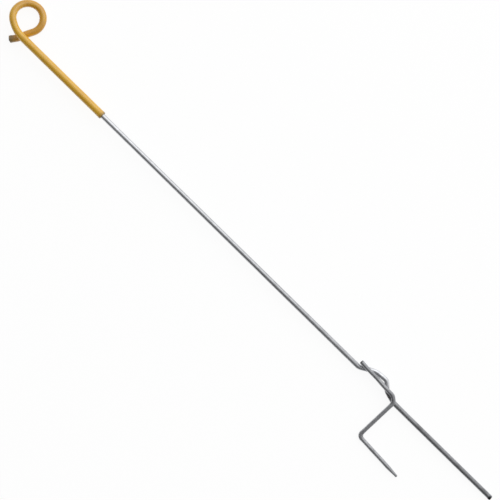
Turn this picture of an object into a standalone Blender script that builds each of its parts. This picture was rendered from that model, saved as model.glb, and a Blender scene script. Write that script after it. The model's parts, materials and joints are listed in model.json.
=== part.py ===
"""Marshmallow roasting fork, lying flat as it does on a table.

One steel rod makes the hanging ring, the shaft and the long tine. A thinner steel wire lies over
the rod near the front, is tacked to it with a weld, and bends out to make the short tine. A vinyl
sleeve covers the ring and the grip.

Units are metres. The fork is laid out along X in its own frame, with X = 0 near the front end of
the sleeve, the grip towards -X and the tines towards +X. The shaft's axis is the X axis there.
The whole fork is then tilted a little, so that its ring and both tines touch the floor, and moved
until the middle of its bounding box's bottom is the origin.
"""

import math

import bmesh
import bpy
from mathutils import Vector

# Wires
ROD_DIAMETER = 0.00476
PRONG_DIAMETER = 0.0040
PRONG_TIP_DIAMETER = 0.0024
PRONG_TIP_TAPER = 0.014
CUT_EDGE = 0.0004
CUT_EDGE_SCALE = 0.88
GAP = 0.0003

# Sleeve
GRIP_SLEEVE_DIAMETER = 0.0073
RING_SLEEVE_DIAMETER = 0.0067
BORE_DIAMETER = ROD_DIAMETER + 2 * GAP
SLEEVE_FRONT_X = 0.0016
SLEEVE_THINS_FROM = -0.097
SLEEVE_THINS_TO = -0.116
ROD_PAST_SLEEVE = 0.0006

# Hanging ring, at the back of the grip
RING_RADIUS = 0.0134
RING_CENTRE_X = -0.1107
RING_CENTRE_Y = 0.0165
RING_EASE_RADIUS = 0.030
RING_END_ANGLE = math.radians(-27)
TAIL_BENDS = ((-0.1020, 0.0041), (-0.1049, -0.0031))
TAIL_BEND_RADIUS = 0.012
TAIL_END = (-0.1101, -0.0099)
RING_CLEARANCE = 0.0004
RING_DROP = (GRIP_SLEEVE_DIAMETER + RING_SLEEVE_DIAMETER) / 2 + RING_CLEARANCE
RING_DROP_OVER = math.radians(150)
RING_STEP = math.radians(10)

# Twist and tines
TIP_X = 0.5028
LONG_TINE_Y = -0.0013
ELBOW = (0.3757, -0.0451)
SHORT_TIP = (0.4271, -0.0478)
OVER_HEIGHT = 0.0037
UNDER_HEIGHT = -0.0012
FIRST_UNDER_HEIGHT = -0.0018
BEND_STEP = math.radians(10)

# Tack weld
WELD_CENTRE = (0.3702, 0.0002, 0.0022)
WELD_HALF_SIZE = (0.0037, 0.0018, 0.0017)

ROD_SIDES = 12
SLEEVE_SIDES = 16

# Where the floor lies under the fork: it touches the ring's front and the end of the long tine.
RING_FRONT_X = RING_CENTRE_X + RING_RADIUS
RING_FLOOR_Z = -RING_DROP - RING_SLEEVE_DIAMETER / 2
FLOOR_SLOPE = (-ROD_DIAMETER / 2 - RING_FLOOR_Z) / (TIP_X - RING_FRONT_X)
REST_TILT = math.atan(FLOOR_SLOPE)


def floor_height(x):
    """Height of the floor at x, in the fork's own frame."""
    return RING_FLOOR_Z + FLOOR_SLOPE * (x - RING_FRONT_X)


def clear_scene():
    """Removes every object that is already in the scene."""
    for obj in list(bpy.data.objects):
        bpy.data.objects.remove(obj, do_unlink=True)


def new_collection(name):
    """A new collection under the scene."""
    collection = bpy.data.collections.new(name)
    bpy.context.scene.collection.children.link(collection)
    return collection


def new_material(name, colour, metallic, roughness):
    """A Principled material with one colour."""
    material = bpy.data.materials.new(name)
    material.use_nodes = True
    shader = material.node_tree.nodes["Principled BSDF"]
    shader.inputs["Base Color"].default_value = (*colour, 1.0)
    shader.inputs["Metallic"].default_value = metallic
    shader.inputs["Roughness"].default_value = roughness
    material.diffuse_color = (*colour, 1.0)
    return material


def smooth_step(value):
    """0 below 0, 1 above 1, and a smooth rise between."""
    value = min(max(value, 0.0), 1.0)
    return value * value * (3 - 2 * value)


def arc(centre, radius, start, end, step):
    """Points on a level arc, from one angle to another, with both ends."""
    count = max(1, round(abs(end - start) / step))
    angles = [start + (end - start) * index / count for index in range(count + 1)]
    return [
        Vector((centre[0] + radius * math.cos(a), centre[1] + radius * math.sin(a), 0.0))
        for a in angles
    ]


def ring_path():
    """Centre line from the tail of the ring to the back of the straight grip."""
    centre = (RING_CENTRE_X, RING_CENTRE_Y)
    span = RING_EASE_RADIUS - RING_RADIUS
    rise = RING_EASE_RADIUS - RING_CENTRE_Y
    ease_x = RING_CENTRE_X + math.sqrt(span * span - rise * rise)
    ease_angle = math.atan2(-rise, RING_CENTRE_X - ease_x)
    ease_centre = (ease_x, RING_EASE_RADIUS)
    points = arc(ease_centre, RING_EASE_RADIUS, -math.pi / 2, ease_angle, math.radians(5))
    start = ease_angle + 2 * math.pi
    turn = arc(centre, RING_RADIUS, start, RING_END_ANGLE, RING_STEP)
    for index, point in enumerate(turn):
        turned = (start - RING_END_ANGLE) * index / (len(turn) - 1)
        point.z = -RING_DROP * smooth_step(turned / RING_DROP_OVER)
    tail = [(turn[-1], 0.0)]
    tail += [((*bend, -RING_DROP), TAIL_BEND_RADIUS) for bend in TAIL_BENDS]
    tail.append(((*TAIL_END, -RING_DROP), 0.0))
    points += turn[1:]
    points += bent_wire(tail)[1:]
    points.reverse()
    return points


def bent_wire(corners):
    """Centre line of a wire through corners, each given as a point and its bend radius."""
    points = [Vector(corners[0][0])]
    for index in range(1, len(corners) - 1):
        corner = Vector(corners[index][0])
        into = (corner - Vector(corners[index - 1][0])).normalized()
        away = (Vector(corners[index + 1][0]) - corner).normalized()
        turn = into.angle(away)
        radius = corners[index][1]
        tangent = radius * math.tan(turn / 2)
        inward = (away - into).normalized()
        centre = corner + inward * (radius / math.cos(turn / 2))
        start = corner - into * tangent - centre
        side = into * radius
        count = max(1, round(turn / BEND_STEP))
        for step in range(count + 1):
            angle = turn * step / count
            points.append(centre + start * math.cos(angle) + side * math.sin(angle))
    points.append(Vector(corners[-1][0]))
    return points


def rod_path():
    """Centre line of the main rod, from the ring's tail to the end of the long tine."""
    front = bent_wire(
        [
            ((0.0, 0.0, 0.0), 0.0),
            ((0.3312, 0.0, 0.0), 0.007),
            ((0.3378, 0.0038, FIRST_UNDER_HEIGHT), 0.010),
            ((0.3460, 0.0081, -0.0010), 0.012),
            ((0.3583, 0.0091, -0.0004), 0.0045),
            ((0.3653, 0.0023, UNDER_HEIGHT), 0.006),
            ((0.3775, -0.0012, UNDER_HEIGHT), 0.016),
            ((0.3960, LONG_TINE_Y, 0.0), 0.040),
            ((TIP_X, LONG_TINE_Y, 0.0), 0.0),
        ]
    )
    return ring_path() + front


def prong_path():
    """Centre line of the prong wire, from its free end on the rod to the end of the short tine."""
    elbow_z = floor_height(ELBOW[0]) + PRONG_DIAMETER / 2
    tip_z = floor_height(SHORT_TIP[0]) + PRONG_DIAMETER / 2
    return bent_wire(
        [
            ((0.3290, 0.0052, 0.0030), 0.0),
            ((0.3375, 0.0045, OVER_HEIGHT), 0.010),
            ((0.3495, 0.0043, 0.0024), 0.020),
            ((0.3610, 0.0034, OVER_HEIGHT), 0.020),
            ((0.3712, 0.0030, OVER_HEIGHT), 0.006),
            ((0.3766, -0.0010, OVER_HEIGHT), 0.0055),
            ((*ELBOW, elbow_z), 0.0042),
            ((*SHORT_TIP, tip_z), 0.0),
        ]
    )


def wire_object(name, points, diameter, sides, collection, scales=None):
    """A round wire along the points, with flat ends. scales thins it, point by point."""
    curve = bpy.data.curves.new(name, "CURVE")
    curve.dimensions = "3D"
    curve.bevel_depth = diameter / 2
    curve.bevel_resolution = sides // 2 - 2
    curve.use_fill_caps = True
    spline = curve.splines.new("POLY")
    spline.points.add(len(points) - 1)
    for index, point in enumerate(points):
        spline.points[index].co = (*point, 1.0)
        spline.points[index].radius = scales[index] if scales else 1.0
    spline.use_smooth = True
    wire = bpy.data.objects.new(name, curve)
    collection.objects.link(wire)
    return wire


def with_cut_edges(points):
    """The points with one more near each end, and the thinning that rounds a cut end's edge."""
    first = (points[1] - points[0]).normalized() * CUT_EDGE
    last = (points[-2] - points[-1]).normalized() * CUT_EDGE
    edged = [points[0], points[0] + first, *points[1:-1], points[-1] + last, points[-1]]
    scales = [1.0] * len(edged)
    scales[0] = CUT_EDGE_SCALE
    scales[-1] = CUT_EDGE_SCALE
    return edged, scales


def as_mesh(wire, collection):
    """The wire turned into a welded mesh object of the same name, and the curve removed."""
    name = wire.name
    graph = bpy.context.evaluated_depsgraph_get()
    mesh = bpy.data.meshes.new_from_object(wire.evaluated_get(graph))
    bpy.data.objects.remove(wire, do_unlink=True)
    shape = bmesh.new()
    shape.from_mesh(mesh)
    bmesh.ops.remove_doubles(shape, verts=shape.verts, dist=0.000001)
    bmesh.ops.recalc_face_normals(shape, faces=shape.faces)
    shape.to_mesh(mesh)
    shape.free()
    solid = bpy.data.objects.new(name, mesh)
    collection.objects.link(solid)
    return solid


def hide_cutter(cutter):
    """Keeps a cutter out of the model."""
    cutter.hide_render = True
    cutter.display_type = "WIRE"


def subtract(solid, cutter):
    """Cuts the cutter from the solid."""
    modifier = solid.modifiers.new(cutter.name, "BOOLEAN")
    modifier.operation = "DIFFERENCE"
    modifier.object = cutter


def build_rod(parts, steel):
    """The main rod: ring core, shaft, the bend under the prong wire, and the long tine."""
    points, scales = with_cut_edges(rod_path())
    rod = wire_object("main_rod", points, ROD_DIAMETER, ROD_SIDES, parts, scales)
    rod.data.materials.append(steel)
    return rod


def build_prong(parts, steel):
    """The prong wire: a free end over the rod, the cross arm and the tapered short tine."""
    points = prong_path()
    heading = (points[-1] - points[-2]).normalized()
    points.insert(-1, points[-1] - heading * PRONG_TIP_TAPER)
    points, scales = with_cut_edges(points)
    scales[-2] = PRONG_TIP_DIAMETER / PRONG_DIAMETER + 0.08
    scales[-1] = PRONG_TIP_DIAMETER / PRONG_DIAMETER
    prong = wire_object("prong_wire", points, PRONG_DIAMETER, ROD_SIDES, parts, scales)
    prong.data.materials.append(steel)
    return prong


def build_sleeve(parts, cutters, vinyl):
    """The vinyl sleeve over the ring and the grip, open at both ends."""
    path = ring_path()
    back = (path[1] - path[0]).normalized()
    path[0] = path[0] + back * ROD_PAST_SLEEVE
    outline = [*path, Vector((SLEEVE_THINS_FROM, 0.0, 0.0)), Vector((SLEEVE_FRONT_X, 0.0, 0.0))]
    thin = RING_SLEEVE_DIAMETER / GRIP_SLEEVE_DIAMETER
    scales = []
    passed_ring = False
    for point in outline:
        passed_ring = passed_ring or (point.z > -0.001 and point.y < 0.006)
        along = (point.x - SLEEVE_THINS_TO) / (SLEEVE_THINS_FROM - SLEEVE_THINS_TO)
        grip = smooth_step(along) if passed_ring else 0.0
        scales.append(thin + (1 - thin) * grip)
    shape = wire_object("grip_sleeve", outline, GRIP_SLEEVE_DIAMETER, SLEEVE_SIDES, parts, scales)
    sleeve = as_mesh(shape, parts)
    bore_line = [path[0] - back * 0.003, *path[1:], Vector((SLEEVE_FRONT_X + 0.003, 0.0, 0.0))]
    bore = as_mesh(wire_object("sleeve_bore", bore_line, BORE_DIAMETER, ROD_SIDES, cutters), cutters)
    hide_cutter(bore)
    subtract(sleeve, bore)
    sleeve.data.materials.append(vinyl)
    sleeve.data.shade_smooth()
    return sleeve


def build_weld(parts, cutters, scale):
    """The tack weld in the groove between the two wires."""
    shape = bmesh.new()
    bmesh.ops.create_uvsphere(shape, u_segments=16, v_segments=8, radius=1.0)
    bmesh.ops.scale(shape, vec=WELD_HALF_SIZE, verts=shape.verts)
    bmesh.ops.translate(shape, vec=WELD_CENTRE, verts=shape.verts)
    mesh = bpy.data.meshes.new("tack_weld")
    shape.to_mesh(mesh)
    shape.free()
    weld = bpy.data.objects.new("tack_weld", mesh)
    parts.objects.link(weld)
    for name, path, diameter in (
        ("rod_clearance", rod_path(), ROD_DIAMETER),
        ("prong_clearance", prong_path(), PRONG_DIAMETER),
    ):
        wire = wire_object(name, path, diameter + 2 * GAP, ROD_SIDES, cutters)
        cutter = as_mesh(wire, cutters)
        hide_cutter(cutter)
        subtract(weld, cutter)
    weld.data.materials.append(scale)
    weld.data.shade_smooth()
    return weld


def world_points(objects):
    """Every vertex of the finished objects, in world space."""
    bpy.context.view_layer.update()
    graph = bpy.context.evaluated_depsgraph_get()
    found = []
    for obj in objects:
        evaluated = obj.evaluated_get(graph)
        mesh = evaluated.to_mesh()
        found += [evaluated.matrix_world @ vertex.co for vertex in mesh.vertices]
        evaluated.to_mesh_clear()
    return found


def lay_on_floor(solids, cutters, collection):
    """Tilts the fork to rest on its ring and tines, and centres its footprint on the origin."""
    frame = bpy.data.objects.new("fork_frame", None)
    collection.objects.link(frame)
    frame.rotation_euler = (0.0, REST_TILT, 0.0)
    for obj in [*solids, *cutters]:
        obj.parent = frame
    points = world_points(solids)
    low = Vector([min(point[axis] for point in points) for axis in range(3)])
    high = Vector([max(point[axis] for point in points) for axis in range(3)])
    frame.location = (-(low.x + high.x) / 2, -(low.y + high.y) / 2, -low.z)
    bpy.context.view_layer.update()
    return frame


def main():
    """Builds the fork."""
    clear_scene()
    parts = new_collection("marshmallow_roasting_fork")
    cutters = new_collection("cutters")
    rod_steel = new_material("rod_steel", (0.55, 0.56, 0.58), 1.0, 0.32)
    prong_steel = new_material("prong_steel", (0.42, 0.43, 0.45), 1.0, 0.38)
    vinyl = new_material("yellow_vinyl", (0.80, 0.47, 0.04), 0.0, 0.35)
    scale = new_material("weld_scale", (0.05, 0.055, 0.06), 0.6, 0.6)
    solids = [
        build_rod(parts, rod_steel),
        build_prong(parts, prong_steel),
        build_sleeve(parts, cutters, vinyl),
        build_weld(parts, cutters, scale),
    ]
    lay_on_floor(solids, list(cutters.objects), parts)


main()
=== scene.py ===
"""The finished look of a marshmallow roasting fork, lying flat.

One steel rod is bent into the hanging ring, the shaft and the long tine. A thinner steel wire lies
over it at the front, held by a small weld, and makes the short tine. A vinyl sleeve covers the ring
and the grip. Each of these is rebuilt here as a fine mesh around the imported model.

Lengths are metres. The fork is laid out in its own straight frame, with X = 0 near the sleeve's
front end and the tines towards +X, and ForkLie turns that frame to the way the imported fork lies.
"""

import json
import logging
import math
from dataclasses import dataclass, field
from enum import Enum
from typing import Any, Callable, Iterable, Sequence

import bmesh
import bpy
import numpy as np
from mathutils import Matrix, Vector, noise


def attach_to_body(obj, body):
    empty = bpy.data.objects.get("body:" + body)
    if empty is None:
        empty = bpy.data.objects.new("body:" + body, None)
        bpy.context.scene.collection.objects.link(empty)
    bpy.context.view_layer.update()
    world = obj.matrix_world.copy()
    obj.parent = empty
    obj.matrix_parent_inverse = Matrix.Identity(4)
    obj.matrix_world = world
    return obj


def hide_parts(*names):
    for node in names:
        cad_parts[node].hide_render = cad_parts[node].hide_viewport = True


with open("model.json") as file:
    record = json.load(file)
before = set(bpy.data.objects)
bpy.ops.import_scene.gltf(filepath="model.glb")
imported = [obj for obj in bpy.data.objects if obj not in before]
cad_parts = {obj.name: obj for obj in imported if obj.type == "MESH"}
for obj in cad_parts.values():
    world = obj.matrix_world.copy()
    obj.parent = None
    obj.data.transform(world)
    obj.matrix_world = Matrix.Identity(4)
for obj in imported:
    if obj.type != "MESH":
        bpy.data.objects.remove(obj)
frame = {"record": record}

log = logging.getLogger("roasting_fork")

Colour = tuple[float, float, float]
Corner = tuple[tuple[float, float, float], float]
Section = Callable[[float, float], float]

# Mesh attributes: where a point is on the straightened wire, and whether it is on a cut face.
PLACE = "wire_place"
CUT = "cut_face"

ROD_DIAMETER = 0.00476
PRONG_DIAMETER = 0.0040

# Points in the fork's own frame. The weld's heat marks both wires round the last of them.
SLEEVE_FRONT = (0.0016, 0.0, 0.0)
TINE_END = (0.5028, -0.0013, 0.0)
WELD_HEAT = (0.3702, 0.0006, 0.0012)

# Curvature per metre past which a bend doesn't change the wire's section any more.
HARDEST_BEND = 230.0


class Slot(Enum):
    """The record's material slots."""

    ROD = "rod_steel"
    PRONG = "prong_steel"
    VINYL = "yellow_vinyl"
    WELD = "weld_scale"


def smooth_step(value: float) -> float:
    """Eases a value from 0 to 1.

    Args:
        value: Any number.

    Returns:
        0 below 0, 1 above 1, and a smooth rise between.
    """
    value = min(max(value, 0.0), 1.0)
    return value * value * (3 - 2 * value)


def hump(value: float, middle: float, half_width: float) -> float:
    """A smooth bump that is 1 at its middle and 0 past its half width.

    Args:
        value: Where it is read.
        middle: Where the bump is highest.
        half_width: How far it reaches each way.

    Returns:
        The bump's height there.
    """
    return smooth_step(1 - abs(value - middle) / half_width)


@dataclass(frozen=True)
class ForkLie:
    """How the fork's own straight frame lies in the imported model."""

    origin: Vector
    turn: Matrix

    @classmethod
    def from_record(cls, record: dict[str, Any]) -> "ForkLie":
        """Works the lie out from the mount at the long tine's end.

        Args:
            record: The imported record.

        Returns:
            The fork's lie.
        """
        mount = next(m for m in record["mounts"] if m["name"] == "long_tine_end")
        tilt = math.atan2(-mount["axis"][2], mount["axis"][0])
        turn = Matrix.Rotation(tilt, 3, "Y")
        return cls(Vector(mount["pos_m"]) - turn @ Vector(TINE_END), turn)

    def place(self, point: Vector) -> Vector:
        """Turns a point of the fork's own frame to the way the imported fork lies.

        Args:
            point: The point in the fork's own frame.

        Returns:
            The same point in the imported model.
        """
        return self.turn @ point + self.origin

    def floor_height(self, x: float) -> float:
        """Finds the floor under the fork.

        Args:
            x: How far along the fork, in its own frame.

        Returns:
            The floor's height there, in the fork's own frame.
        """
        return -self.origin.z / self.turn[2][2] - x * self.turn[2][0] / self.turn[2][2]


@dataclass
class CentreLine:
    """A wire's centre line, with evenly spaced points and a little spring in its bends."""

    corners: list[Vector]
    spacing: float
    easing: int
    points: np.ndarray = field(init=False)
    spots: np.ndarray = field(init=False)

    def __post_init__(self) -> None:
        """Spaces the points evenly and eases the bends."""
        raw = np.array([list(point) for point in self.corners])
        self.points = self._spaced(raw)
        for _ in range(self.easing):
            inner = (self.points[:-2] + 2 * self.points[1:-1] + self.points[2:]) / 4
            self.points[1:-1] = inner
        steps = np.linalg.norm(np.diff(self.points, axis=0), axis=1)
        self.spots = np.concatenate([[0.0], np.cumsum(steps)])

    def _spaced(self, raw: np.ndarray) -> np.ndarray:
        """Reads the line again at even distances.

        Args:
            raw: The line's points, at any distances.

        Returns:
            Points on the same line, at the spacing.
        """
        steps = np.linalg.norm(np.diff(raw, axis=0), axis=1)
        spots = np.concatenate([[0.0], np.cumsum(steps)])
        wanted = np.linspace(0.0, spots[-1], round(spots[-1] / self.spacing) + 1)
        return np.stack([np.interp(wanted, spots, raw[:, axis]) for axis in range(3)], axis=1)

    @property
    def length(self) -> float:
        """Length of the whole line."""
        return float(self.spots[-1])

    def at(self, distance: float) -> Vector:
        """The point at a distance along the line, which runs straight on past its ends.

        Args:
            distance: How far along the line.

        Returns:
            The point, in the fork's own frame.
        """
        inside = min(max(distance, 0.0), self.length)
        point = Vector([float(np.interp(inside, self.spots, self.points[:, k])) for k in range(3)])
        return point + self.heading(inside) * (distance - inside)

    def heading(self, distance: float) -> Vector:
        """The line's direction.

        Args:
            distance: How far along the line.

        Returns:
            A direction of length 1.
        """
        reach = self.spacing
        low = min(max(distance - reach, 0.0), self.length - 2 * reach)
        ends = [
            [float(np.interp(spot, self.spots, self.points[:, k])) for k in range(3)]
            for spot in (low, low + 2 * reach)
        ]
        return (Vector(ends[1]) - Vector(ends[0])).normalized()

    def bend(self, distance: float) -> Vector:
        """The line's curvature.

        Args:
            distance: How far along the line.

        Returns:
            The curvature per metre, pointing to the inside of the bend.
        """
        reach = 3 * self.spacing
        inside = min(max(distance, reach), self.length - reach)
        change = self.heading(inside + reach) - self.heading(inside - reach)
        return change / (2 * reach)

    def sides_at(self, distance: float) -> tuple[Vector, Vector, Vector]:
        """The three directions that a ring round the line is laid out in.

        Args:
            distance: How far along the line.

        Returns:
            The heading, the level side and the upward side.
        """
        heading = self.heading(distance)
        side = heading.cross(Vector((0.0, 0.0, 1.0))).normalized()
        return heading, side, side.cross(heading)

    def bend_towards(self, distance: float, angle: float) -> tuple[float, float]:
        """How much of a bend is towards one side of the wire.

        Args:
            distance: How far along the line.
            angle: Where round it.

        Returns:
            The curvature towards that angle, and the whole curvature.
        """
        bend = self.bend(distance)
        _, side, up = self.sides_at(distance)
        inward = side.dot(bend) * math.cos(angle) + up.dot(bend) * math.sin(angle)
        return inward, bend.length


def bent_wire(corners: Sequence[Corner], step: float = math.radians(4)) -> list[Vector]:
    """Rounds the corners of a bent wire.

    Args:
        corners: Each corner's point and bend radius. The first and last are the wire's ends.
        step: Turn from one point of a bend to the next.

    Returns:
        The points of the centre line.
    """
    points = [Vector(corners[0][0])]
    for before, (spot, radius), after in zip(corners, corners[1:], corners[2:]):
        corner = Vector(spot)
        into = (corner - Vector(before[0])).normalized()
        away = (Vector(after[0]) - corner).normalized()
        turn = into.angle(away)
        centre = corner + (away - into).normalized() * (radius / math.cos(turn / 2))
        start = corner - into * (radius * math.tan(turn / 2)) - centre
        count = max(1, round(turn / step))
        for index in range(count + 1):
            angle = turn * index / count
            points.append(centre + start * math.cos(angle) + into * radius * math.sin(angle))
    points.append(Vector(corners[-1][0]))
    return points


def level_arc(centre: tuple[float, float], radius: float, turn: tuple[float, float],
              step: float) -> list[Vector]:
    """Points on a level arc, with both ends.

    Args:
        centre: The arc's middle.
        radius: Its radius.
        turn: Its first and last angle.
        step: Turn from one point to the next.

    Returns:
        The points in order.
    """
    count = max(1, round(abs(turn[1] - turn[0]) / step))
    angles = [turn[0] + (turn[1] - turn[0]) * index / count for index in range(count + 1)]
    return [
        Vector((centre[0] + radius * math.cos(a), centre[1] + radius * math.sin(a), 0.0))
        for a in angles
    ]


@dataclass(frozen=True)
class HangingRing:
    """The ring at the back of the grip, whose tail passes under the grip."""

    radius: float = 0.0134
    centre_x: float = -0.1107
    centre_y: float = 0.0165
    ease_radius: float = 0.030
    end_angle: float = math.radians(-27)
    tail_bends: tuple[tuple[float, float], ...] = ((-0.1020, 0.0041), (-0.1049, -0.0031))
    tail_bend_radius: float = 0.012
    tail_end: tuple[float, float] = (-0.1101, -0.0099)
    drop: float = 0.0074
    drop_over: float = math.radians(150)

    def path(self) -> list[Vector]:
        """Lays the ring: an easy curve off the grip, the round ring as it drops, and the tail.

        Returns:
            The centre line's points, from the tail's end to the back of the straight grip.
        """
        span = self.ease_radius - self.radius
        rise = self.ease_radius - self.centre_y
        ease_x = self.centre_x + math.sqrt(span * span - rise * rise)
        ease_angle = math.atan2(-rise, self.centre_x - ease_x)
        points = level_arc((ease_x, self.ease_radius), self.ease_radius,
                           (-math.pi / 2, ease_angle), math.radians(3))
        start = ease_angle + 2 * math.pi
        turn = level_arc((self.centre_x, self.centre_y), self.radius,
                         (start, self.end_angle), math.radians(4))
        for index, point in enumerate(turn):
            turned = (start - self.end_angle) * index / (len(turn) - 1)
            point.z = -self.drop * smooth_step(turned / self.drop_over)
        tail: list[Corner] = [(tuple(turn[-1]), 0.0)]
        tail += [((*bend, -self.drop), self.tail_bend_radius) for bend in self.tail_bends]
        tail.append(((*self.tail_end, -self.drop), 0.0))
        points += turn[1:]
        points += bent_wire(tail)[1:]
        points.reverse()
        return points


@dataclass(frozen=True)
class CutEnd:
    """How a wire's end was cut: a sheared face, rolled over on one side and sharp on the other."""

    edge: float
    lean: float
    lean_towards: float
    roll: float
    roughness: float

    def rings(self, radius: float) -> list[tuple[float, float, float]]:
        """The end's rings, from the wire's full section to near its middle.

        Args:
            radius: The wire's radius at the end.

        Returns:
            For each ring, how far it is back from the end, its radius as a share of the wire's,
            and how much of it is cut face, from 0 to 1.
        """
        edge = min(self.edge, radius * 0.98)
        rounds = 6
        found = []
        for index in range(rounds + 1):
            turn = math.pi / 2 * index / rounds
            back = edge * (1 - math.sin(turn))
            share = 1 - edge / radius * (1 - math.cos(turn))
            found.append((back, share, index / rounds))
        rim = found[-1][1]
        found += [(0.0, rim * share, 1.0) for share in (0.78, 0.52, 0.26)]
        return found

    def push(self, radius: float, angle: float, share: float) -> float:
        """How far a point of the face stands out along the wire.

        Args:
            radius: The wire's radius at the end.
            angle: The point's angle round the wire.
            share: Its distance from the middle as a share of the radius.

        Returns:
            The distance, which is negative where the shear has rolled the edge over.
        """
        facing = math.cos(angle - self.lean_towards)
        leaning = -radius * share * facing * math.tan(self.lean)
        rolled = -self.roll * smooth_step((facing * share - 0.35) / 0.65)
        torn = noise.noise(Vector((angle * 1.3, share * 5.0, radius * 900))) * self.roughness
        return leaning + rolled + torn * share


class TubeMesh:
    """A mesh of rings round a centre line, closed at both ends or joined into a pipe.

    Each point also keeps its place on the wire as if the wire were straight: how far along it is,
    and its two distances from the axis. The finishes read that place.
    """

    def __init__(self, line: CentreLine, lie: ForkLie, sides: int) -> None:
        """Starts an empty mesh round a line.

        Args:
            line: The centre line, in the fork's own frame.
            lie: How the fork lies.
            sides: Points in each ring.
        """
        self.line = line
        self.lie = lie
        self.sides = sides
        self.shape = bmesh.new()
        self.place = self.shape.verts.layers.float_vector.new(PLACE)
        self.cut = self.shape.verts.layers.float.new(CUT)
        self.rings: list[list[bmesh.types.BMVert]] = []

    def angles(self) -> list[float]:
        """The angle of each point in a ring, from the level side towards the upward one."""
        return [2 * math.pi * index / self.sides for index in range(self.sides)]

    def point(self, distance: float, radius: float, angle: float, push: float,
              cut: float) -> bmesh.types.BMVert:
        """Adds one point.

        Args:
            distance: How far along the line.
            radius: How far from the line.
            angle: Where round the line.
            push: How far it is moved along the line's heading.
            cut: 1 on a cut face, 0 on the wire's skin.

        Returns:
            The new vertex.
        """
        heading, side, up = self.line.sides_at(distance)
        across = side * (math.cos(angle) * radius) + up * (math.sin(angle) * radius)
        spot = self.line.at(distance) + across + heading * push
        vertex = self.shape.verts.new(self.lie.place(spot))
        flat = (distance + push, math.cos(angle) * radius, math.sin(angle) * radius)
        vertex[self.place] = flat
        vertex[self.cut] = cut
        return vertex

    def ring(self, distance: float, radius: Section, share: float = 1.0,
             push: Callable[[float], float] | None = None, cut: float = 0.0) -> None:
        """Adds a ring of points, joined to the ring before it.

        Args:
            distance: How far along the line.
            radius: The section, read at that distance and each angle.
            share: What share of the section's radius the ring has.
            push: How far each angle's point is moved along the heading.
            cut: 1 on a cut face, 0 on the wire's skin.
        """
        made = [
            self.point(distance, radius(distance, angle) * share, angle,
                       push(angle) if push else 0.0, cut)
            for angle in self.angles()
        ]
        if self.rings:
            self._bridge(self.rings[-1], made)
        self.rings.append(made)

    def _bridge(self, first: list[bmesh.types.BMVert], second: list[bmesh.types.BMVert]) -> None:
        """Joins two rings with a band of faces.

        Args:
            first: One ring's points.
            second: The next ring's points, in the same order.
        """
        for index in range(self.sides):
            after = (index + 1) % self.sides
            self.shape.faces.new((first[index], first[after], second[after], second[index]))

    def _cap(self, ring: list[bmesh.types.BMVert], distance: float) -> None:
        """Closes a ring with a fan round one middle point.

        Args:
            ring: The ring's points.
            distance: How far along the line the middle point is.
        """
        middle = self.point(distance, 0.0, 0.0, 0.0, 1.0)
        for index in range(self.sides):
            self.shape.faces.new((ring[index], ring[(index + 1) % self.sides], middle))

    def wire(self, radius: Section, ends: tuple[CutEnd, CutEnd]) -> None:
        """Makes a solid wire over the whole line.

        Args:
            radius: The section at each distance and angle.
            ends: How its start and its end were cut.
        """
        length = self.line.length
        starting, finishing = ends
        start_radius = radius(0.0, 0.0)
        end_radius = radius(length, 0.0)
        for back, share, cut in reversed(starting.rings(start_radius)):
            self.ring(
                back, radius, share,
                lambda a, s=share, c=cut: -c * starting.push(start_radius, a, s), cut)
        spots = [
            spot for spot in self.line.spots
            if starting.edge < spot < length - finishing.edge
        ]
        for spot in spots[1:-1]:
            self.ring(float(spot), radius)
        for back, share, cut in finishing.rings(end_radius):
            self.ring(
                length - back, radius, share,
                lambda a, s=share, c=cut: c * finishing.push(end_radius, a, s), cut)
        self._cap(self.rings[0], 0.0)
        self._cap(self.rings[-1], length)

    def pipe(self, outside: Section, inside: Section, lips: tuple[float, float],
             lip_wave: Callable[[float, float], float]) -> None:
        """Makes an open pipe over the whole line, with round lips at its ends.

        Args:
            outside: The outer section at each distance and angle.
            inside: The bore's section.
            lips: Where the pipe starts and ends along the line.
            lip_wave: How far each angle of a lip is from square, at a distance.
        """
        start, end = lips
        lip_room = 0.0012
        first, last = start + lip_room, end - lip_room
        spots = [float(spot) for spot in self.line.spots if first < spot < last]
        rounds = 8

        def lip(at: float, sign: float, turns: Iterable[int]) -> None:
            for index in turns:
                turn = math.pi * index / rounds

                def section(distance: float, angle: float, bend: float = turn) -> float:
                    outer = outside(at, angle)
                    inner = inside(at, angle)
                    return (outer + inner) / 2 + (outer - inner) / 2 * math.cos(bend)

                wall = (outside(at, 0.0) - inside(at, 0.0)) / 2
                out = wall * math.sin(turn)
                self.ring(at, section, 1.0,
                          lambda a, o=out: sign * o - sign * wall + lip_wave(at, a),
                          math.sin(turn))

        lip(start, -1.0, range(rounds // 2, -1, -1))
        for spot in spots:
            self.ring(spot, outside)
        lip(end, 1.0, range(rounds + 1))
        for spot in reversed(spots):
            self.ring(spot, inside)
        lip(start, -1.0, range(rounds, rounds // 2, -1))
        self._bridge(self.rings[-1], self.rings[0])

    def finish(self, name: str) -> bpy.types.Object:
        """Makes the object.

        Args:
            name: The piece's name.

        Returns:
            The new object, shaded smooth.
        """
        bmesh.ops.recalc_face_normals(self.shape, faces=self.shape.faces)
        return piece_of(self.shape, name)


def piece_of(shape: bmesh.types.BMesh, name: str) -> bpy.types.Object:
    """Turns a shape into an object shaded smooth, and frees the shape.

    Args:
        shape: The finished shape.
        name: The piece's name.

    Returns:
        The new object, linked to the scene.
    """
    mesh = bpy.data.meshes.new(name)
    shape.to_mesh(mesh)
    shape.free()
    mesh.shade_smooth()
    piece = bpy.data.objects.new(name, mesh)
    bpy.context.scene.collection.objects.link(piece)
    return piece


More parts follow.
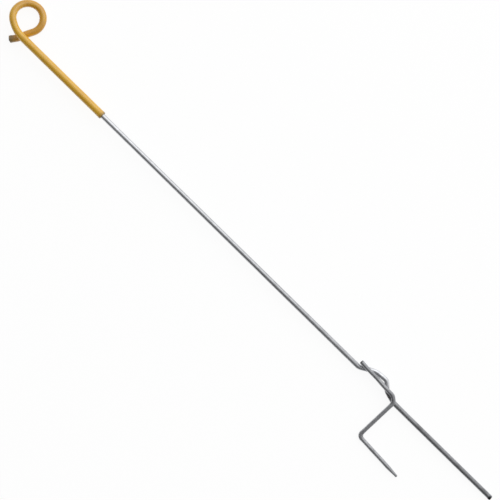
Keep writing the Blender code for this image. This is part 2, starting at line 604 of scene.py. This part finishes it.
class Tone:
    """A number that varies over a surface, with arithmetic that adds Math nodes."""

    def __init__(self, graph: "Graph", socket: bpy.types.NodeSocket) -> None:
        """Wraps an output socket."""
        self.graph = graph
        self.socket = socket

    def _math(self, operation: str, *values: Any) -> "Tone":
        """One Math node on these values."""
        inputs = dict(enumerate(values))
        return self.graph.tone("ShaderNodeMath", {"operation": operation}, inputs)

    def __add__(self, other: Any) -> "Tone":
        """self + other."""
        return self._math("ADD", self, other)

    def __radd__(self, other: Any) -> "Tone":
        """other + self."""
        return self._math("ADD", other, self)

    def __sub__(self, other: Any) -> "Tone":
        """self - other."""
        return self._math("SUBTRACT", self, other)

    def __rsub__(self, other: Any) -> "Tone":
        """other - self."""
        return self._math("SUBTRACT", other, self)

    def __mul__(self, other: Any) -> "Tone":
        """self * other."""
        return self._math("MULTIPLY", self, other)

    def __rmul__(self, other: Any) -> "Tone":
        """other * self."""
        return self._math("MULTIPLY", other, self)

    def rise(self, low: float, high: float) -> "Tone":
        """A smooth rise from 0 at low to 1 at high, or a fall where high is the lower one.

        Args:
            low: Where the rise starts.
            high: Where it ends.

        Returns:
            A number from 0 to 1.
        """
        falls = high < low
        settings = {"interpolation_type": "SMOOTHSTEP", "clamp": True}
        inputs = {"Value": self, "From Min": min(low, high), "From Max": max(low, high),
                  "To Min": float(falls), "To Max": float(not falls)}
        return self.graph.tone("ShaderNodeMapRange", settings, inputs)


class Graph:
    """The nodes of a material or of the surroundings, made through one method."""

    def __init__(self, owner: bpy.types.Material | bpy.types.World, shader: str) -> None:
        """Takes over the owner's nodes.

        Args:
            owner: The material or the world.
            shader: Its shader node's name.
        """
        owner.use_nodes = True
        self.owner = owner
        self.tree = owner.node_tree
        self.shader = self.tree.nodes[shader]

    @classmethod
    def of_material(cls, name: str) -> "Graph":
        """Starts a material.

        Args:
            name: The material's name.

        Returns:
            The nodes of the new material.
        """
        return cls(bpy.data.materials.new(name), "Principled BSDF")

    def add(self, kind: str, settings: dict[str, Any], inputs: dict[Any, Any]) -> bpy.types.Node:
        """Adds a node.

        Args:
            kind: The node's type.
            settings: Its own settings, set first. "stops" holds a ramp's places and colours.
            inputs: Values or links of its sockets, by name or number.

        Returns:
            The node.
        """
        node = self.tree.nodes.new(kind)
        for key, value in settings.items():
            if key == "stops":
                self._set_stops(node.color_ramp, value)
            else:
                setattr(node, key, value)
        for key, value in inputs.items():
            self.feed(node.inputs[key], value)
        return node

    def _set_stops(self, ramp: bpy.types.ColorRamp, stops: Sequence[tuple[float, Colour]]) -> None:
        """Gives a ramp its stops.

        Args:
            ramp: The ramp.
            stops: Each stop's place, from 0 to 1, and its colour.
        """
        while len(ramp.elements) > 1:
            ramp.elements.remove(ramp.elements[-1])
        for index, (spot, colour) in enumerate(stops):
            stop = ramp.elements[0] if index == 0 else ramp.elements.new(spot)
            stop.position = spot
            stop.color = (*colour, 1.0)

    def feed(self, socket: bpy.types.NodeSocket, value: Any) -> None:
        """Links or sets an input.

        Args:
            socket: The input.
            value: A tone or an output socket to link, or a plain value to set.
        """
        if isinstance(value, Tone):
            self.tree.links.new(value.socket, socket)
        elif isinstance(value, bpy.types.NodeSocket):
            self.tree.links.new(value, socket)
        elif isinstance(value, tuple) and len(value) == 3 and socket.type == "RGBA":
            socket.default_value = (*value, 1.0)
        else:
            socket.default_value = value

    def tone(self, kind: str, settings: dict[str, Any], inputs: dict[Any, Any],
             output: Any = 0) -> Tone:
        """Adds a node that gives a number.

        Args:
            kind: The node's type.
            settings: Its own settings.
            inputs: Values or links of its sockets.
            output: Which output holds the number.

        Returns:
            The number.
        """
        return Tone(self, self.add(kind, settings, inputs).outputs[output])

    def mix(self, share: Any, first: Any, second: Any,
            blend: str = "MIX") -> bpy.types.NodeSocket:
        """Mixes two colours.

        Args:
            share: How much of the second colour there is.
            first: A colour or a colour socket.
            second: A colour or a colour socket.
            blend: The way that the two are blended.

        Returns:
            The mixed colour's socket.
        """
        settings = {"data_type": "RGBA", "blend_type": blend, "clamp_factor": True}
        return self.add("ShaderNodeMix", settings, {0: share, 6: first, 7: second}).outputs[2]

    def vector(self, operation: str, first: Any, second: Any) -> bpy.types.NodeSocket:
        """Works one thing out with vectors.

        Args:
            operation: What is worked out.
            first: A vector or its socket.
            second: A vector or its socket.

        Returns:
            The vector's socket.
        """
        settings = {"operation": operation}
        return self.add("ShaderNodeVectorMath", settings, {0: first, 1: second}).outputs[0]

    def noise(self, place: Any, scale: float, detail: float = 2.0, rough: float = 0.5) -> Tone:
        """Soft noise over a place.

        Args:
            place: The coordinates' socket.
            scale: Features per metre.
            detail: Octaves.
            rough: Strength of the fine octaves.

        Returns:
            The noise, from 0 to 1.
        """
        inputs = {"Vector": place, "Scale": scale, "Detail": detail, "Roughness": rough}
        return self.tone("ShaderNodeTexNoise", {"noise_dimensions": "3D"}, inputs)

    def cells(self, place: Any, scale: float) -> Tone:
        """Distance to the nearest of many scattered points.

        Args:
            place: The coordinates' socket.
            scale: Points per metre.

        Returns:
            The distance, as a share of their spacing.
        """
        return self.tone("ShaderNodeTexVoronoi", {}, {"Vector": place, "Scale": scale})

    def attribute(self, name: str) -> bpy.types.Node:
        """Reads one of the mesh's own attributes.

        Args:
            name: The attribute's name.

        Returns:
            The node that gives it.
        """
        return self.add("ShaderNodeAttribute", {"attribute_name": name}, {})

    def bump(self, height: Any, depth: float) -> bpy.types.NodeSocket:
        """Raises the surface by a height.

        Args:
            height: From 0 to 1.
            depth: What a height of 1 stands up by, in metres.

        Returns:
            The new normal's socket.
        """
        inputs = {"Strength": 1.0, "Distance": depth, "Height": height}
        return self.add("ShaderNodeBump", {}, inputs).outputs[0]

    def dress(self, varied: dict[str, Any],
              plain: dict[str, Any]) -> bpy.types.Material | bpy.types.World:
        """Sets the shader.

        Args:
            varied: What changes over the surface, by socket.
            plain: What is the same all over, by socket.

        Returns:
            The finished material or world.
        """
        for name, value in {**plain, **varied}.items():
            self.feed(self.shader.inputs[name], value)
        return self.owner


@dataclass(frozen=True)
class DrawnSteel:
    """Bright drawn wire: die lines along it, mottled plating, and smoke and heat near the tines.

    The greys and the mattness are stops along the wire. The darkened tip and the stretch of painted
    highlight are off the wire unless they are given.
    """

    name: str
    greys: tuple[tuple[float, float], ...]
    matt: tuple[tuple[float, float], ...]
    hot_spot: tuple[float, float, float]
    smoke: float
    radius: float
    dark_tip_at: float = 1.0e3
    glare_stretch: tuple[float, float] = (-2.0, -1.0)
    rim_glare_white: Colour = (0.78, 0.78, 0.79)
    glare_white: Colour = (0.93, 0.93, 0.93)
    die_marks: Colour = (0.11, 0.112, 0.118)
    cool_tint: Colour = (0.955, 0.968, 1.0)
    heat_scale: Colour = (0.062, 0.062, 0.066)
    soot: Colour = (0.055, 0.052, 0.050)
    pits: Colour = (0.06, 0.055, 0.05)
    tip_dark: Colour = (0.018, 0.018, 0.020)
    sheared: Colour = (0.028, 0.028, 0.030)
    line_depth: float = 0.000012

    @staticmethod
    def _run(graph: Graph, along: Tone, stops: Sequence[tuple[float, float]]) -> Tone:
        """A number that changes along the wire.

        Args:
            graph: The material's nodes.
            along: How far along the wire.
            stops: Distances along the wire and the number at each.

        Returns:
            The number.
        """
        start, end = stops[0][0], stops[-1][0]
        shares = [((spot - start) / (end - start), (value,) * 3) for spot, value in stops]
        share = (along - start) * (1 / (end - start))
        return graph.tone("ShaderNodeValToRGB", {"stops": shares}, {"Fac": share})

    def material(self) -> bpy.types.Material:
        """Makes the finish.

        Returns:
            The material.
        """
        graph = Graph.of_material(self.name)
        place = graph.attribute(PLACE).outputs["Vector"]
        along = graph.tone("ShaderNodeSeparateXYZ", {}, {0: place})
        cut = Tone(graph, graph.attribute(CUT).outputs["Fac"])
        where = graph.add("ShaderNodeTexCoord", {}, {}).outputs["Object"]
        drawn = graph.vector("MULTIPLY", place, (0.012, 1.0, 1.0))
        lines = graph.noise(drawn, 5200.0, 3.0, 0.7)
        wide_lines = graph.noise(drawn, 1500.0, 2.0, 0.6)
        mottle = graph.noise(where, 240.0, 3.0, 0.6)
        grain = graph.noise(where, 2600.0, 2.0, 0.6)
        pitted = graph.noise(where, 420.0).rise(0.55, 0.7)
        specks = graph.cells(where, 1100.0).rise(0.16, 0.05) * pitted
        heat = graph.tone(
            "ShaderNodeVectorMath", {"operation": "DISTANCE"}, {0: where, 1: self.hot_spot}, 1)
        burnt = (heat + (mottle - 0.5) * 0.006).rise(0.011, 0.002)
        grey = self._run(graph, along, self.greys)
        matt = self._run(graph, along, self.matt)
        side = graph.tone("ShaderNodeSeparateXYZ", {}, {0: place}, 1) * (1 / self.radius)
        # Painted reflection: both edges of the wire, as seen from above, are lightened towards pale
        # grey where the wire is matt.
        rim_glare = (side * side).rise(0.34, 0.95) * matt.rise(0.25, 0.9)
        patchy = mottle.rise(0.3, 0.72) * 0.16 + lines * 0.14 + wide_lines * 0.12
        # Painted highlight: over the given stretch, the wire's half towards the light is washed
        # towards near white.
        start, end = self.glare_stretch
        lit_glare = along.rise(start, start + 0.005) * along.rise(end, end - 0.004) * side.rise(0.05, -0.55)
        sooty = matt * self.smoke * graph.noise(where, 95.0, 4.0, 0.65).rise(0.42, 0.75)
        # The last few millimetres of the wire are darkened to near black on the half away from the
        # light.
        tip = along.rise(self.dark_tip_at - 0.0034, self.dark_tip_at - 0.0018) * side.rise(-0.9, -0.1)
        steel = graph.mix(rim_glare * 0.75, grey, self.rim_glare_white)
        steel = graph.mix(lit_glare, steel, self.glare_white)
        steel = graph.mix(patchy, steel, self.die_marks)
        steel = graph.mix(1.0, steel, self.cool_tint, "MULTIPLY")
        steel = graph.mix(burnt * 0.45, steel, self.heat_scale)
        steel = graph.mix(sooty, steel, self.soot)
        steel = graph.mix(specks * 0.55, steel, self.pits)
        steel = graph.mix(tip * 0.95, steel, self.tip_dark)
        steel = graph.mix(cut.rise(0.55, 0.95), steel, self.sheared)
        rough = 0.20 + matt * 0.18 + mottle * 0.10 + lines * 0.08 + sooty * 0.3 + cut * 0.3
        height = lines * 0.7 + grain * 0.3
        return graph.dress(
            {"Base Color": steel, "Roughness": rough, "Metallic": 1.0 - specks * 0.5,
             "Normal": graph.bump(height, self.line_depth)},
            {},
        )


@dataclass(frozen=True)
class StretchedVinyl:
    """Satin yellow vinyl, pulled over the rod: cloudy colour, fine peel, scuffs and darker ends."""

    name: str
    golden: Colour
    deep: Colour
    pale: Colour
    ring_length: float
    length: float
    end_dark: Colour = (0.14, 0.112, 0.050)
    lip_shade: Colour = (0.09, 0.06, 0.015)
    coat: float = 0.25
    peel_depth: float = 0.00003

    def material(self) -> bpy.types.Material:
        """Makes the finish.

        Returns:
            The material.
        """
        graph = Graph.of_material(self.name)
        place = graph.attribute(PLACE).outputs["Vector"]
        along = graph.tone("ShaderNodeSeparateXYZ", {}, {0: place})
        cut = Tone(graph, graph.attribute(CUT).outputs["Fac"])
        where = graph.add("ShaderNodeTexCoord", {}, {}).outputs["Object"]
        cloud = graph.noise(where, 130.0, 3.0, 0.55)
        pulled = graph.noise(graph.vector("MULTIPLY", place, (0.10, 1.0, 1.0)), 900.0, 3.0, 0.6)
        peel = graph.noise(where, 1700.0, 2.0, 0.5)
        scratch = graph.noise(graph.vector("MULTIPLY", where, (0.16, 1.0, 1.0)), 2400.0, 2.0, 0.5)
        scuffs = scratch.rise(0.64, 0.72) * graph.noise(where, 70.0, 2.0).rise(0.48, 0.64)
        tail = along.rise(0.0085, 0.002)
        front = along.rise(self.length - 0.0034, self.length - 0.0004)
        end_mottle = graph.noise(where, 420.0, 3.0).rise(0.25, 0.65)
        # Both ends are darker over their last few millimetres, the tail's end more than the front's.
        end_darkening = tail * (0.55 + end_mottle * 0.3) + front * (0.35 + end_mottle * 0.25)
        ring = along.rise(self.ring_length, self.ring_length - 0.022)
        colour = graph.mix(cloud.rise(0.3, 0.7) * 0.30 + ring * 0.55, self.golden, self.deep)
        colour = graph.mix(pulled.rise(0.45, 0.75) * 0.22, colour, self.pale)
        colour = graph.mix(scuffs * 0.35, colour, self.pale)
        colour = graph.mix(end_darkening, colour, self.end_dark)
        # Painted shade: the cut lips at both ends are darkened, standing in for the end faces in
        # shadow.
        colour = graph.mix(cut * 0.75, colour, self.lip_shade)
        rough = 0.24 + cloud * 0.10 + scuffs * 0.2 + end_darkening * 0.2
        height = peel * 0.5 + pulled * 0.5
        return graph.dress(
            {"Base Color": colour, "Roughness": rough, "Coat Weight": self.coat - end_darkening * self.coat,
             "Normal": graph.bump(height, self.peel_depth)},
            {"IOR": 1.55, "Specular IOR Level": 0.85, "Coat Roughness": 0.14},
        )


@dataclass(frozen=True)
class WeldScale:
    """The burnt skin of a weld: near black, with brown and blue patches and a gritty crust."""

    name: str
    grit_depth: float = 0.00004

    def material(self) -> bpy.types.Material:
        """Makes the finish.

        Returns:
            The material.
        """
        graph = Graph.of_material(self.name)
        where = graph.add("ShaderNodeTexCoord", {}, {}).outputs["Object"]
        patches = graph.noise(where, 620.0, 3.0, 0.6)
        grit = graph.noise(where, 4200.0, 3.0, 0.65)
        colour = graph.add("ShaderNodeValToRGB", {"stops": (
            (0.0, (0.045, 0.046, 0.050)),
            (0.42, (0.085, 0.088, 0.095)),
            (0.55, (0.12, 0.110, 0.100)),
            (0.72, (0.20, 0.205, 0.22)),
            (1.0, (0.34, 0.34, 0.35)),
        )}, {"Fac": patches * 0.7 + grit * 0.3}).outputs[0]
        rough = 0.38 + grit * 0.3
        return graph.dress(
            {"Base Color": colour, "Roughness": rough, "Metallic": 0.75 + patches * 0.2,
             "Normal": graph.bump(grit, self.grit_depth)},
            {},
        )


@dataclass(frozen=True)
class PaleFloor:
    """Plain near-white paper, lit so evenly that shadows on it stay faint."""

    name: str = "pale_floor"
    shade: float = 0.10
    glow: float = 0.91

    def material(self) -> bpy.types.Material:
        """Makes the finish.

        Returns:
            The material.
        """
        graph = Graph.of_material(self.name)
        where = graph.add("ShaderNodeTexCoord", {}, {}).outputs["Object"]
        fibre = graph.noise(where, 900.0, 2.0, 0.5)
        white = (self.shade, self.shade, self.shade)
        colour = graph.mix(fibre * 0.1, white, (self.shade * 0.9,) * 3)
        return graph.dress(
            {"Base Color": colour},
            {"Roughness": 0.9, "Emission Color": (1.0, 1.0, 1.0), "Emission Strength": self.glow},
        )


@dataclass
class MainRod:
    """The rod that makes the ring's core, the shaft and the long tine."""

    lie: ForkLie
    ring: HangingRing
    diameter: float = ROD_DIAMETER
    under: float = -0.0012
    bare_length: float = 0.507
    sides: int = 32
    spacing: float = 0.0008
    line: CentreLine = field(init=False)

    def __post_init__(self) -> None:
        """Lays the centre line: the ring, the shaft, the bend under the prong wire, the tine."""
        front = bent_wire([
            ((0.0, 0.0, 0.0), 0.0),
            ((0.3312, 0.0, 0.0), 0.007),
            ((0.3378, 0.0038, -0.0018), 0.010),
            ((0.3460, 0.0081, -0.0010), 0.012),
            ((0.3583, 0.0091, -0.0004), 0.0045),
            ((0.3653, 0.0023, self.under), 0.006),
            ((0.3775, -0.0012, self.under), 0.016),
            ((0.3960, TINE_END[1], 0.0), 0.040),
            (TINE_END, 0.0),
        ])
        self.line = CentreLine(self.ring.path() + front, self.spacing, 2)

    def section(self, distance: float, angle: float) -> float:
        """The rod's radius, flattened a little where it was bent hard.

        Args:
            distance: How far along the rod.
            angle: Where round it.

        Returns:
            The radius there.
        """
        inward, bend = self.line.bend_towards(distance, angle)
        share = inward / bend if bend > 1.0 else 0.0
        oval = min(bend, HARDEST_BEND) * 0.00028 * (0.5 - share * share)
        wave = noise.noise(Vector((distance * 38.0, math.cos(angle), math.sin(angle)))) * 0.006
        return self.diameter / 2 * (1 + oval + wave)

    def build(self) -> bpy.types.Object:
        """Makes the rod's mesh.

        Returns:
            The piece.
        """
        ring_end = CutEnd(0.00045, math.radians(3), math.radians(200), 0.00015, 0.00010)
        tine_end = CutEnd(0.00035, math.radians(5), math.radians(180), 0.00055, 0.00012)
        tube = TubeMesh(self.line, self.lie, self.sides)
        tube.wire(self.section, (ring_end, tine_end))
        return tube.finish("drawn_rod")

    def dress(self, piece: bpy.types.Object) -> None:
        """Gives the rod its steel.

        Args:
            piece: The rod.
        """
        front = self.line.length - self.bare_length
        greys = ((0.0, 0.75), (0.095, 0.65), (0.215, 0.52), (0.306, 0.50), (0.360, 0.48),
                 (0.372, 0.38), (0.392, 0.33), (0.455, 0.31), (self.bare_length, 0.29))
        matt = ((0.0, 0.0), (0.20, 0.15), (0.30, 0.85), (0.337, 0.85), (0.345, 0.45),
                (0.358, 0.45), (0.395, 1.0), (self.bare_length, 1.0))
        finish = DrawnSteel(
            Slot.ROD.value,
            tuple((front + spot, grey) for spot, grey in greys),
            tuple((front + spot, share) for spot, share in matt),
            tuple(self.lie.place(Vector(WELD_HEAT))), 0.35,
            # The twist's bulge, from 0.338 to 0.3665 along the rod, gets the painted highlight on its
            # lit half.
            self.diameter / 2, self.line.length, (front + 0.338, front + 0.3665))
        piece.data.materials.append(finish.material())


@dataclass
class ProngWire:
    """The wire tacked over the rod: a short free end, the cross arm and the short tine."""

    lie: ForkLie
    diameter: float = PRONG_DIAMETER
    tip_diameter: float = 0.0024
    taper: float = 0.014
    over: float = 0.0037
    elbow: tuple[float, float] = (0.3757, -0.0451)
    tip: tuple[float, float] = (0.4271, -0.0478)
    sides: int = 32
    spacing: float = 0.0005
    line: CentreLine = field(init=False)

    def __post_init__(self) -> None:
        """Lays the centre line: over the rod, across, and down to the floor at the short tine."""
        lift = self.diameter / 2
        corners = [
            ((0.3290, 0.0052, 0.0030), 0.0),
            ((0.3375, 0.0045, self.over), 0.010),
            ((0.3495, 0.0043, 0.0024), 0.020),
            ((0.3610, 0.0034, self.over), 0.020),
            ((0.3712, 0.0030, self.over), 0.006),
            ((0.3766, -0.0010, self.over), 0.0055),
            ((*self.elbow, self.lie.floor_height(self.elbow[0]) + lift), 0.0042),
            ((*self.tip, self.lie.floor_height(self.tip[0]) + lift), 0.0),
        ]
        self.line = CentreLine(bent_wire(corners), self.spacing, 2)

    def section(self, distance: float, angle: float) -> float:
        """The wire's radius: hammered flat in its bends, and ground down at the short tine's end.

        Args:
            distance: How far along the wire.
            angle: Where round it.

        Returns:
            The radius there.
        """
        inward, bend = self.line.bend_towards(distance, angle)
        share = inward / bend if bend > 1.0 else 0.0
        oval = min(bend, HARDEST_BEND) * 0.0010 * (share * share - 0.5)
        spot = Vector((distance * 45.0, math.cos(angle), math.sin(angle) + 9.0))
        wave = noise.noise(spot) * 0.008
        left = self.line.length - distance
        ground = 1 - smooth_step(left / self.taper)
        thinned = 1 - (1 - self.tip_diameter / self.diameter) * ground
        return self.diameter / 2 * thinned * (1 + oval + wave)

    def build(self) -> bpy.types.Object:
        """Makes the wire's mesh.

        Returns:
            The piece.
        """
        free_end = CutEnd(0.0005, math.radians(9), math.radians(90), 0.0003, 0.00015)
        tine_end = CutEnd(0.0008, math.radians(2), math.radians(120), 0.0001, 0.00004)
        tube = TubeMesh(self.line, self.lie, self.sides)
        tube.wire(self.section, (free_end, tine_end))
        return tube.finish("prong_steel_wire")

    def dress(self, piece: bpy.types.Object) -> None:
        """Gives the wire its steel.

        Args:
            piece: The wire.
        """
        end = self.line.length
        finish = DrawnSteel(
            Slot.PRONG.value,
            ((0.0, 0.38), (0.035, 0.46), (0.055, 0.48), (0.09, 0.50), (end, 0.46)),
            ((0.0, 0.7), (0.05, 0.8), (end, 1.0)),
            tuple(self.lie.place(Vector(WELD_HEAT))), 0.4, self.diameter / 2)
        piece.data.materials.append(finish.material())


@dataclass
class GripSleeve:
    """The vinyl sleeve over the ring and the grip, open at both ends."""

    lie: ForkLie
    ring: HangingRing
    grip_diameter: float = 0.0073
    ring_diameter: float = 0.0067
    bore_diameter: float = ROD_DIAMETER + 0.0001
    thins_over: tuple[float, float] = (0.097, 0.116)
    rod_past: float = 0.0006
    ring_length: float = 0.084
    sides: int = 48
    spacing: float = 0.0007
    line: CentreLine = field(init=False)

    def __post_init__(self) -> None:
        """Lays the centre line: the rod's own, as far as the sleeve's front end."""
        path = [*self.ring.path(), Vector(SLEEVE_FRONT)]
        self.line = CentreLine(path, self.spacing, 2)

    def outside(self, distance: float, angle: float) -> float:
        """The outer radius: thinner round the ring, and puckered on the inside of it.

        Args:
            distance: How far along the sleeve, from the tail.
            angle: Where round it.

        Returns:
            The radius there.
        """
        left = self.line.length - distance
        start, end = self.thins_over
        thinned = smooth_step((left - start) / (end - start))
        radius = (self.grip_diameter + (self.ring_diameter - self.grip_diameter) * thinned) / 2
        inward, _ = self.line.bend_towards(distance, angle)
        tight = smooth_step((inward - 25.0) / 45.0)
        pucker = math.sin(distance * 2 * math.pi / 0.0031 + 1.5 * math.sin(distance * 420.0))
        spot = Vector((distance * 60.0, math.cos(angle) * 1.2, math.sin(angle) * 1.2))
        wave = noise.noise(spot) * 0.00006 + noise.noise(spot * 4.3) * 0.00002
        swell = 0.00014 * hump(left, 0.0016, 0.0018) + 0.0001 * hump(distance, 0.0020, 0.0022)
        return radius + pucker * tight * 0.00007 + wave + swell

    def inside(self, distance: float, angle: float) -> float:
        """The bore's radius.

        Args:
            distance: How far along the sleeve; not used.
            angle: Where round it; not used.

        Returns:
            The radius, which is the same everywhere.
        """
        return self.bore_diameter / 2

    def lip_wave(self, distance: float, angle: float) -> float:
        """How far a lip is from square, because the sleeve was cut by hand.

        Args:
            distance: Which lip, by how far along the sleeve it is.
            angle: Where round it.

        Returns:
            The distance along the sleeve.
        """
        spot = Vector((distance * 10.0, math.cos(angle), math.sin(angle)))
        return noise.noise(spot) * 0.0004

    def build(self) -> bpy.types.Object:
        """Makes the sleeve's mesh.

        Returns:
            The piece.
        """
        tube = TubeMesh(self.line, self.lie, self.sides)
        lips = (self.rod_past, self.line.length)
        tube.pipe(self.outside, self.inside, lips, self.lip_wave)
        return tube.finish("vinyl_sleeve")

    def dress(self, piece: bpy.types.Object) -> None:
        """Gives the sleeve its vinyl.

        Args:
            piece: The sleeve.
        """
        finish = StretchedVinyl(
            Slot.VINYL.value, (0.76, 0.415, 0.005), (0.56, 0.25, 0.001), (0.88, 0.60, 0.06),
            self.ring_length, self.line.length)
        piece.data.materials.append(finish.material())


@dataclass
class TackWeld:
    """The weld bead in the groove between the two wires, with the spatter round it."""

    lie: ForkLie
    rod: CentreLine
    prong: CentreLine
    centre: tuple[float, float, float] = (0.3702, 0.0004, 0.0020)
    touches: int = 5
    drop_size: tuple[float, float, float] = (0.0014, 0.0018, 0.0015)
    specks: int = 13
    voxel: float = 0.00014

    def _ball(self, shape: bmesh.types.BMesh, centre: Vector, size: Sequence[float],
              fine: int) -> None:
        """Adds a stretched ball.

        Args:
            shape: The mesh it goes in.
            centre: Its middle, in the fork's own frame.
            size: Its three half sizes.
            fine: How many times it is divided.
        """
        made = bmesh.ops.create_icosphere(shape, subdivisions=fine, radius=1.0)["verts"]
        for vertex in made:
            spot = Vector([vertex.co[axis] * size[axis] for axis in range(3)])
            rough = 1 + 0.18 * noise.noise((centre + spot) * 900.0)
            vertex.co = self.lie.place(centre + spot * rough)

    def _bead(self) -> bpy.types.Object:
        """Makes the bead: overlapping drops, one for each touch of the torch, melted together.

        Returns:
            The bead.
        """
        shape = bmesh.new()
        middle = Vector(self.centre)
        long, wide, high = self.drop_size
        for index in range(self.touches):
            along = index / (self.touches - 1) * 2 - 1
            swell = 1 - 0.35 * along * along
            spot = middle + Vector((along * 0.0026, -along * 0.0004, -0.0002 * abs(along)))
            self._ball(shape, spot, (long, wide * swell, high * swell), 4)
        bead = piece_of(shape, "weld_bead")
        remesh = bead.modifiers.new("melt", "REMESH")
        remesh.mode = "VOXEL"
        remesh.voxel_size = self.voxel
        ease = bead.modifiers.new("ease", "SMOOTH")
        ease.iterations = 2
        graph = bpy.context.evaluated_depsgraph_get()
        mesh = bpy.data.meshes.new_from_object(bead.evaluated_get(graph))
        bead.modifiers.clear()
        bead.data = mesh
        for vertex in mesh.vertices:
            crust = noise.fractal(vertex.co * 1500.0, 0.6, 2.0, 3)
            vertex.co += vertex.normal * (crust * 0.00006)
        mesh.shade_smooth()
        return bead

    def _spatter(self) -> bpy.types.Object:
        """Makes the small drops frozen on both wires near the bead.

        Returns:
            The drops, as one piece.
        """
        shape = bmesh.new()
        wires = ((self.rod, ROD_DIAMETER / 2), (self.prong, PRONG_DIAMETER / 2))
        for index in range(self.specks):
            line, radius = wires[index % 2]
            spread = math.sin(index * 2.4) * 0.011
            where = self._nearest(line) + spread
            angle = math.radians(40 + 37 * index % 110)
            size = 0.00016 + 0.00010 * (0.5 + 0.5 * math.sin(index * 5.1))
            _, side, up = line.sides_at(where)
            out = side * math.cos(angle) + up * math.sin(angle)
            self._ball(shape, line.at(where) + out * radius, (size, size, size * 0.8), 2)
        return piece_of(shape, "weld_spatter")

    def _nearest(self, line: CentreLine) -> float:
        """Finds the bead on a wire.

        Args:
            line: The wire's centre line.

        Returns:
            How far along the line the bead is.
        """
        gaps = np.linalg.norm(line.points - np.array(self.centre), axis=1)
        return float(line.spots[int(gaps.argmin())])

    def build(self) -> list[bpy.types.Object]:
        """Makes the bead and its spatter.

        Returns:
            The two pieces.
        """
        return [self._bead(), self._spatter()]

    def dress(self, pieces: Sequence[bpy.types.Object]) -> None:
        """Gives the weld its scale.

        Args:
            pieces: The bead and its spatter.
        """
        material = WeldScale(Slot.WELD.value).material()
        for piece in pieces:
            piece.data.materials.clear()
            piece.data.materials.append(material)


@dataclass(frozen=True)
class Studio:
    """A pale floor, one big soft light past the fork's ring side, and a camera looking down."""

    lie: ForkLie
    look_at: tuple[float, float, float] = (0.18425, 0.0068, -0.002)
    roll: float = math.radians(44.42)
    framed_width: float = 0.460
    lens: float = 100.0
    sensor: float = 36.0
    floor_size: float = 12.0
    light_turn: float = math.radians(52)
    light_distance: float = 1.7
    light_size: float = 1.7
    light_power: float = 7.0
    bright_side: tuple[float, float, float] = (0.0, 0.94, 0.34)
    dim: float = 0.16
    bright: float = 0.98

    def build(self) -> None:
        """Makes the floor, the light, the surroundings and the camera."""
        self._floor()
        self._light()
        self._surroundings()
        self._camera()
        bpy.context.scene.view_settings.view_transform = "Standard"

    def _floor(self) -> None:
        """The floor, which isn't part of the fork."""
        shape = bmesh.new()
        bmesh.ops.create_grid(shape, x_segments=1, y_segments=1, size=self.floor_size / 2)
        floor = piece_of(shape, "floor")
        floor.location.z = -0.0002
        floor.data.materials.append(PaleFloor().material())

    def _light(self) -> None:
        """The soft light."""
        lamp = bpy.data.lights.new("soft_light", "AREA")
        lamp.shape = "SQUARE"
        lamp.size = self.light_size
        lamp.energy = self.light_power
        light = bpy.data.objects.new("soft_light", lamp)
        towards = Vector((0.0, math.sin(self.light_turn), math.cos(self.light_turn)))
        light.location = towards * self.light_distance
        light.rotation_mode = "QUATERNION"
        light.rotation_quaternion = towards.to_track_quat("Z", "Y")
        bpy.context.scene.collection.objects.link(light)

    def _surroundings(self) -> None:
        """The room: pale on the light's side and dimmer on the other."""
        graph = Graph(bpy.data.worlds.new("studio"), "Background")
        towards = graph.add("ShaderNodeTexCoord", {}, {}).outputs["Generated"]
        facing = graph.tone("ShaderNodeVectorMath", {"operation": "DOT_PRODUCT"},
                            {0: towards, 1: self.bright_side}, "Value")
        strength = graph.tone(
            "ShaderNodeMapRange", {"interpolation_type": "SMOOTHSTEP"},
            {"Value": facing, "From Min": -0.42, "From Max": 0.90,
             "To Min": self.dim, "To Max": self.bright})
        bpy.context.scene.world = graph.dress({"Strength": strength}, {"Color": (1.0, 1.0, 1.0)})

    def _camera(self) -> None:
        """The camera, straight above the fork, with the shaft running down to the right."""
        view = bpy.data.cameras.new("camera")
        view.lens = self.lens
        view.sensor_width = self.sensor
        camera = bpy.data.objects.new("camera", view)
        distance = self.framed_width * self.lens / self.sensor
        camera.location = self.lie.place(Vector(self.look_at)) + Vector((0.0, 0.0, distance))
        camera.rotation_euler = (0.0, 0.0, self.roll)
        bpy.context.scene.collection.objects.link(camera)
        bpy.context.scene.camera = camera


def attach(piece: bpy.types.Object, slot: Slot, *nodes: str) -> None:
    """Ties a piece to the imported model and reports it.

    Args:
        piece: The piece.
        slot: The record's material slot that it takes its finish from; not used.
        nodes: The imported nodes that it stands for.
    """
    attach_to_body(piece, "root")
    if nodes:
        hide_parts(*nodes)
    log.info("%s: %d faces", piece.name, len(piece.data.polygons))


def main() -> None:
    """Builds the fork and its studio."""
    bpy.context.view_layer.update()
    lie = ForkLie.from_record(frame["record"])
    ring = HangingRing()
    rod = MainRod(lie, ring)
    prong = ProngWire(lie)
    sleeve = GripSleeve(lie, ring)
    for part, slot, node in (
        (rod, Slot.ROD, "main_rod"),
        (prong, Slot.PRONG, "prong_wire"),
        (sleeve, Slot.VINYL, "grip_sleeve"),
    ):
        piece = part.build()
        part.dress(piece)
        attach(piece, slot, node)
    weld = TackWeld(lie, rod.line, prong.line)
    bead, spatter = weld.build()
    weld.dress([bead, spatter])
    attach(bead, Slot.WELD, "tack_weld")
    attach(spatter, Slot.WELD)
    Studio(lie).build()


if __name__ == "__main__":
    logging.basicConfig(level=logging.INFO)
    main()
